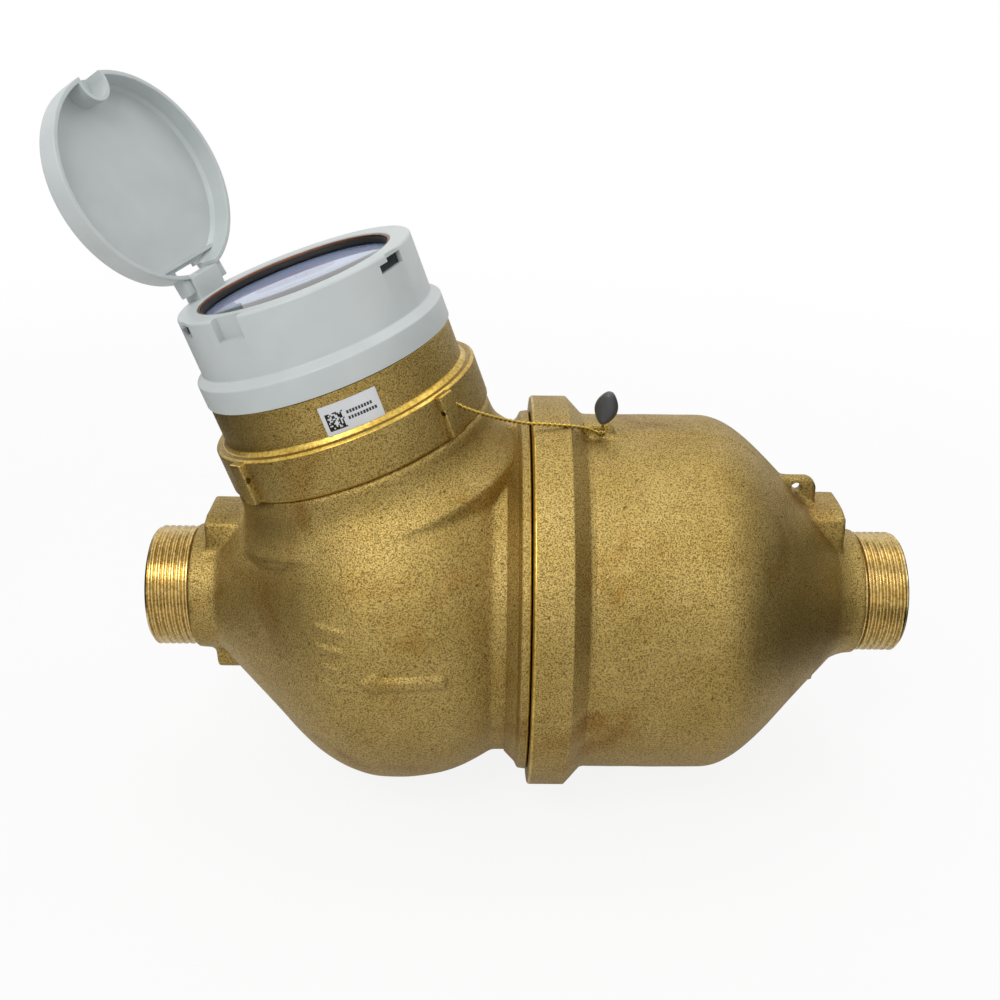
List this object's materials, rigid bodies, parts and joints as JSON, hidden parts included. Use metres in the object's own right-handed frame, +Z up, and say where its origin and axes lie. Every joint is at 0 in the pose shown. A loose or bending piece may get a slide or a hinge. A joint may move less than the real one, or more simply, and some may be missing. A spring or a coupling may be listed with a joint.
{
  "type": "water meter",
  "caption": "Volumetric water meter: split cast brass body with male threads in line, tilted hermetic register under a hinged lid.",
  "frame": {"origin": "centre of the outlet end face, on the pipe axis", "axes": "+X along the pipe axis towards the inlet, against the flow; +Z up, towards the register"},
  "size_m": [0.2794, 0.1362, 0.2395],
  "materials": {
    "cast_brass": "sand cast, unmachined",
    "turned_brass": "turned",
    "grey_plastic": "moulded, satin",
    "copper": "drawn copper",
    "steel": "stainless",
    "rubber": "moulded",
    "white_plastic": "moulded",
    "dark_plastic": "moulded",
    "red_plastic": "moulded",
    "glass": "mineral glass",
    "magnet": "sintered ferrite",
    "label": "film, satin",
    "lead": "dark lead with a plastic skin",
    "brass_wire": "drawn wire"
  },
  "bodies": {
    "housing": {"outlet_casting": "cast_brass", "inlet_bowl": "cast_brass", "joint_seal": "rubber", "strainer": "steel", "chamber_body": "white_plastic", "chamber_cover": "white_plastic", "chamber_screws": "steel", "division_plate": "steel", "spout_seal": "rubber", "pressure_plate": "turned_brass", "neck_seal": "rubber", "head_ring": "cast_brass", "label": "label", "seal_wire": "brass_wire", "lead_seal": "lead"},
    "crank": {"crank_spindle": "steel", "drive_magnet": "magnet"},
    "piston": {"piston": "dark_plastic"},
    "register": {"shroud": "grey_plastic", "register_can": "copper", "window": "glass", "window_gasket": "rubber", "dial": "white_plastic", "movement_frame": "white_plastic", "drum_axle": "steel", "hinge_pin": "steel"},
    "lid": {"lid": "grey_plastic"},
    "follower": {"follower_spindle": "steel", "follower_magnet": "magnet"},
    "star": {"star_gear": "white_plastic", "flow_star": "red_plastic"},
    "pointer": {"pointer_gear": "white_plastic", "pointer": "red_plastic"},
    "drum_1": {"drum_1": "red_plastic"},
    "drum_2": {"drum_2": "dark_plastic"},
    "drum_3": {"drum_3": "dark_plastic"},
    "drum_4": {"drum_4": "dark_plastic"},
    "drum_5": {"drum_5": "dark_plastic"},
    "drum_6": {"drum_6": "dark_plastic"}
  },
  "joints": [
    {"name": "register_swivel", "type": "hinge", "parent": "housing", "child": "register", "pos_m": [0.06828, 0, 0.07145], "axis": [-0.3305, 0, 0.9438], "range_deg": [-177.5, 177.5]},
    {"name": "lid_hinge", "type": "hinge", "parent": "register", "child": "lid", "pos_m": [0.02057, 0.01428, 0.10539], "axis": [-0.3673, -0.9212, -0.1286], "range_deg": [-98.8, 0]},
    {"name": "crank_turn", "type": "hinge", "parent": "housing", "child": "crank", "pos_m": [0.08338, 0, 0.02831], "axis": [-0.3305, 0, 0.9438], "continuous": true},
    {"name": "piston_pin", "type": "hinge", "parent": "crank", "child": "piston", "pos_m": [0.09745, 0, 0.00781], "axis": [-0.3305, 0, 0.9438], "continuous": true},
    {"name": "follower_turn", "type": "hinge", "parent": "register", "child": "follower", "pos_m": [0.06778, 0, 0.07286], "axis": [-0.3305, 0, 0.9438], "continuous": true},
    {"name": "star_turn", "type": "hinge", "parent": "register", "child": "star", "pos_m": [0.05794, -0.01499, 0.0995], "axis": [-0.3305, 0, 0.9438], "continuous": true},
    {"name": "pointer_turn", "type": "hinge", "parent": "register", "child": "pointer", "pos_m": [0.0663, -0.00288, 0.10243], "axis": [-0.3305, 0, 0.9438], "continuous": true},
    {"name": "drum_1_turn", "type": "hinge", "parent": "register", "child": "drum_1", "pos_m": [0.05256, 0.0035, 0.09126], "axis": [0.3673, 0.9212, 0.1286], "continuous": true},
    {"name": "drum_2_turn", "type": "hinge", "parent": "register", "child": "drum_2", "pos_m": [0.05256, 0.0035, 0.09126], "axis": [0.3673, 0.9212, 0.1286], "continuous": true},
    {"name": "drum_3_turn", "type": "hinge", "parent": "register", "child": "drum_3", "pos_m": [0.05256, 0.0035, 0.09126], "axis": [0.3673, 0.9212, 0.1286], "continuous": true},
    {"name": "drum_4_turn", "type": "hinge", "parent": "register", "child": "drum_4", "pos_m": [0.05256, 0.0035, 0.09126], "axis": [0.3673, 0.9212, 0.1286], "continuous": true},
    {"name": "drum_5_turn", "type": "hinge", "parent": "register", "child": "drum_5", "pos_m": [0.05256, 0.0035, 0.09126], "axis": [0.3673, 0.9212, 0.1286], "continuous": true},
    {"name": "drum_6_turn", "type": "hinge", "parent": "register", "child": "drum_6", "pos_m": [0.05256, 0.0035, 0.09126], "axis": [0.3673, 0.9212, 0.1286], "continuous": true}
  ],
  "couplings": [
    {"joint": "piston_pin", "follows": "crank_turn", "ratio": -1},
    {"joint": "follower_turn", "follows": "crank_turn", "ratio": 1},
    {"joint": "star_turn", "follows": "crank_turn", "ratio": -0.33333},
    {"joint": "pointer_turn", "follows": "crank_turn", "ratio": 0.11111}
  ]
}
